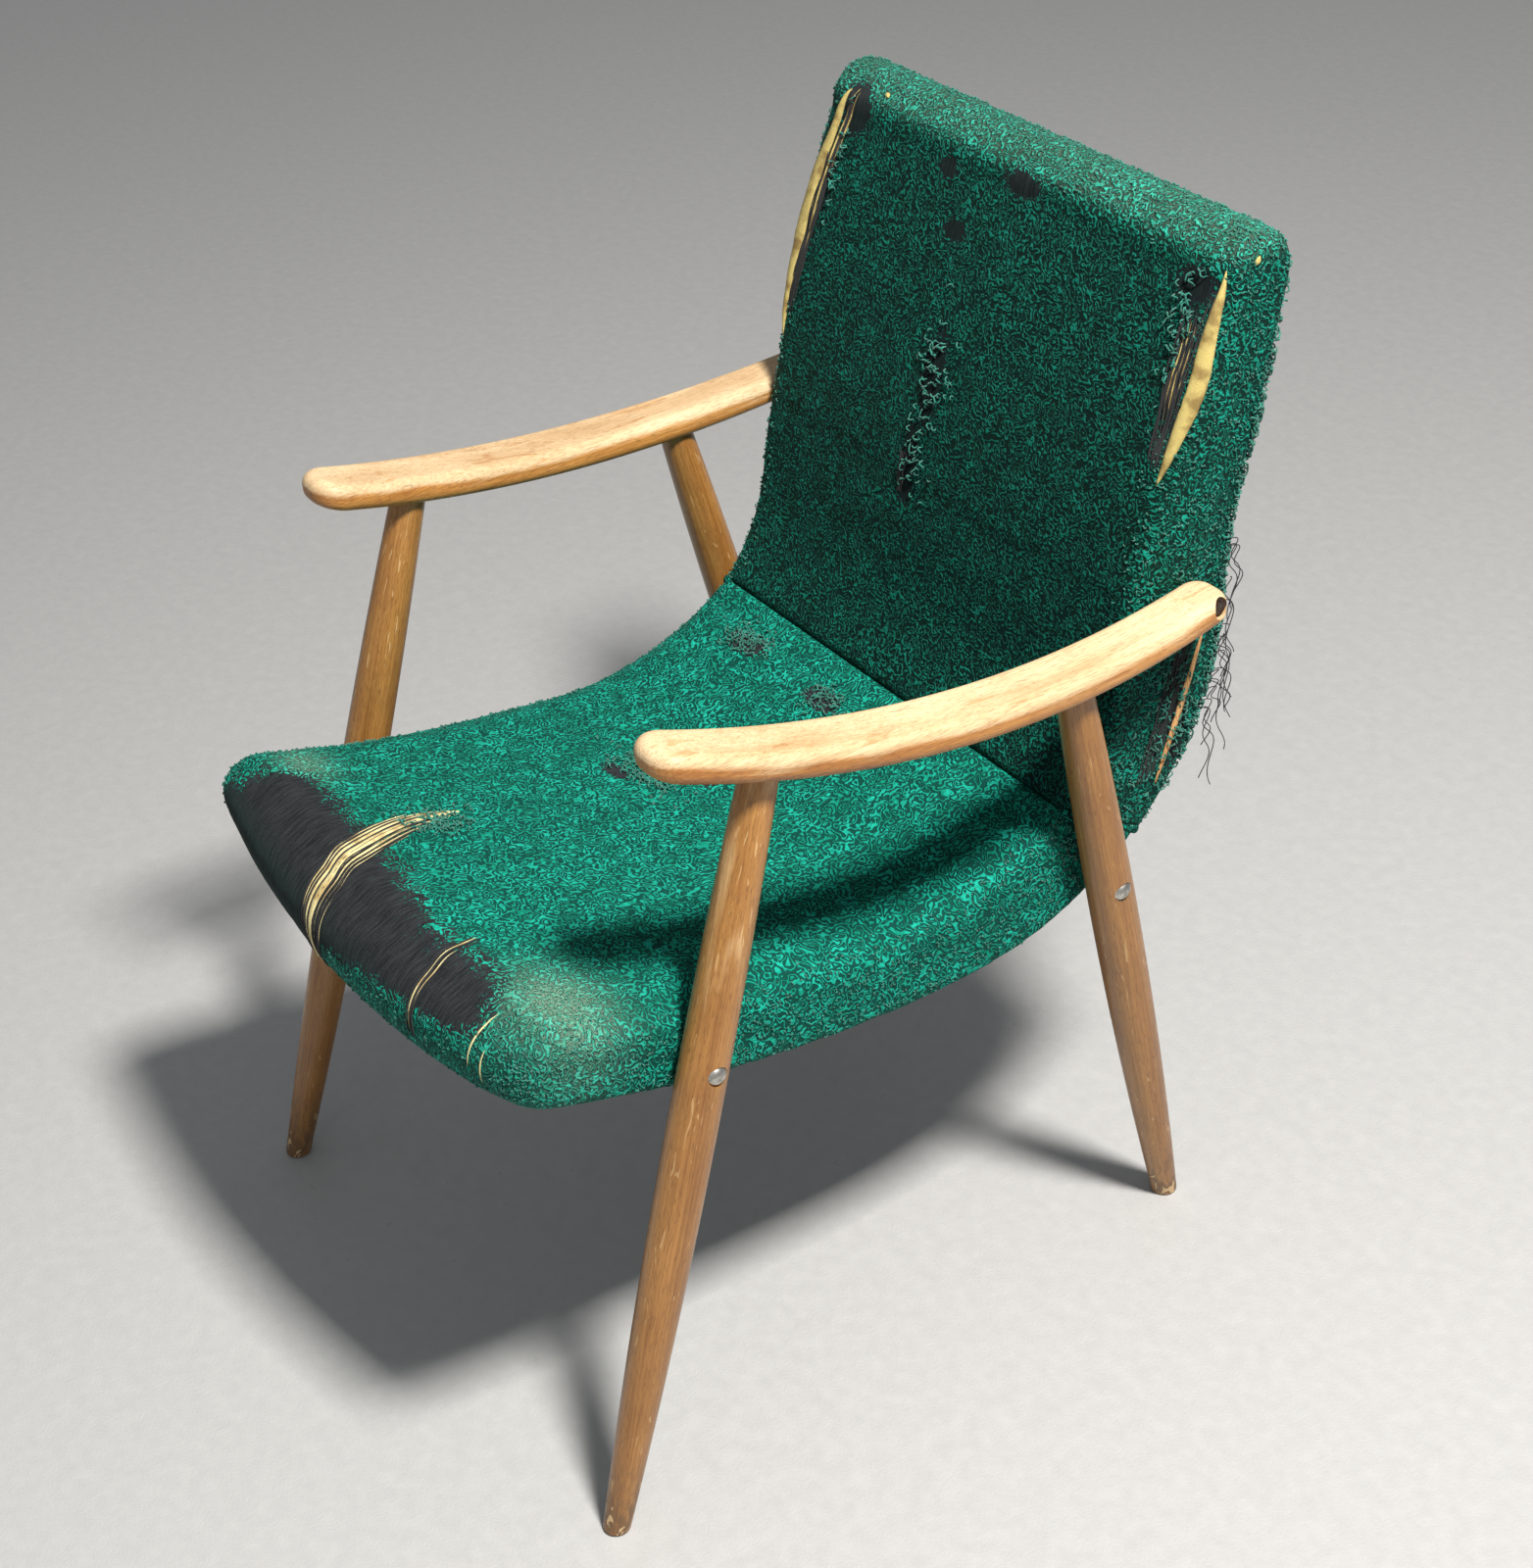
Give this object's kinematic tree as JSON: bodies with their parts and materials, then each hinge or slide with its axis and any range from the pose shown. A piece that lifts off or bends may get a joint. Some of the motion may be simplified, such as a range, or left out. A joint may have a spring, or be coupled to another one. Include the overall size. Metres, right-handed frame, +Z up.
{
  "type": "upholstered armchair",
  "caption": "Small easy chair: tapered round beech legs, bent beech armrests and one curved seat-and-back shell in worn green boucle with torn edges.",
  "frame": {"origin": "on the floor under the middle of the chair's bounding box", "axes": "+Z up; the chair faces -Y; +X is the sitter's left"},
  "size_m": [0.55, 0.6754, 0.8281],
  "materials": {
    "leg_wood": "satin lacquer, worn",
    "armrest_wood": "worn lacquer, dry",
    "frame_wood": "raw beech",
    "bolt_steel": "dull zinc",
    "spring_steel": "dark wire",
    "boucle": "curly wool pile",
    "side_boucle": "curly wool pile",
    "back_boucle": "curly wool pile",
    "foam": "aged foam",
    "burlap": "coarse weave",
    "dust_cloth": "thin woven"
  },
  "bodies": {
    "root": {"armrest_left": "armrest_wood", "armrest_right": "armrest_wood", "armrest_screws": "bolt_steel", "armrest_washers": "bolt_steel", "back_burlap": "burlap", "back_cover": "boucle", "back_foam": "foam", "back_springs": "spring_steel", "bottom_cloth": "dust_cloth", "crease_rail": "frame_wood", "front_rail": "frame_wood", "leg_bolts": "bolt_steel", "leg_front_left": "leg_wood", "leg_front_right": "leg_wood", "leg_rear_left": "leg_wood", "leg_rear_right": "leg_wood", "leg_tee_nuts": "bolt_steel", "outer_back": "back_boucle", "rail_dowels": "frame_wood", "seat_burlap": "burlap", "seat_cover": "boucle", "seat_foam": "foam", "seat_springs": "spring_steel", "side_band_left": "side_boucle", "side_band_right": "side_boucle", "side_rail_left": "frame_wood", "side_rail_right": "frame_wood", "spring_clips": "spring_steel", "staples": "bolt_steel", "top_rail": "frame_wood"}
  },
  "joints": []
}
